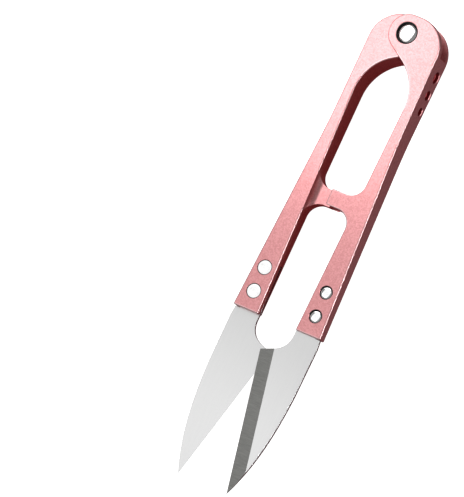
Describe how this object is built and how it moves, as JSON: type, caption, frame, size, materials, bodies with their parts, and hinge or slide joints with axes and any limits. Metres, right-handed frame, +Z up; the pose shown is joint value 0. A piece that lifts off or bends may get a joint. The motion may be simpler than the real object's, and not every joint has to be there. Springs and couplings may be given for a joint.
{
  "type": "spring thread snips",
  "caption": "Spring thread snips with two cast arms on a riveted pivot, crossing guide tabs and riveted pointed blades.",
  "frame": {"origin": "middle of the underside of the outer box, with the snips lying flat and open", "axes": "+X along the tool towards the pivot, +Y towards the lower arm, +Z up from the lower lug to the upper lug"},
  "size_m": [0.12, 0.0242, 0.0096],
  "materials": {
    "painted_casting": "pearly pink metallic paint on a zinc casting, satin gloss",
    "blade_steel": "satin polished flats with a brushed ground bevel",
    "rivet_steel": "bright plated",
    "spring_steel": "drawn spring wire"
  },
  "bodies": {
    "lower_half": {"lower_arm": "painted_casting", "lower_blade": "blade_steel", "lower_blade_rivet_inner": "rivet_steel", "lower_blade_rivet_outer": "rivet_steel", "pivot_rivet": "rivet_steel", "torsion_spring": "spring_steel"},
    "upper_half": {"upper_arm": "painted_casting", "upper_blade": "blade_steel", "upper_blade_rivet_inner": "rivet_steel", "upper_blade_rivet_outer": "rivet_steel"}
  },
  "joints": [
    {"name": "squeeze", "type": "hinge", "parent": "lower_half", "child": "upper_half", "pos_m": [0.05535, 0, 0.0048], "axis": [0, 0, -1], "range_deg": [0, 6.8], "stiffness_Nm_per_rad": 0.5, "springref_deg": -8.59, "deforming": ["torsion_spring"]}
  ]
}
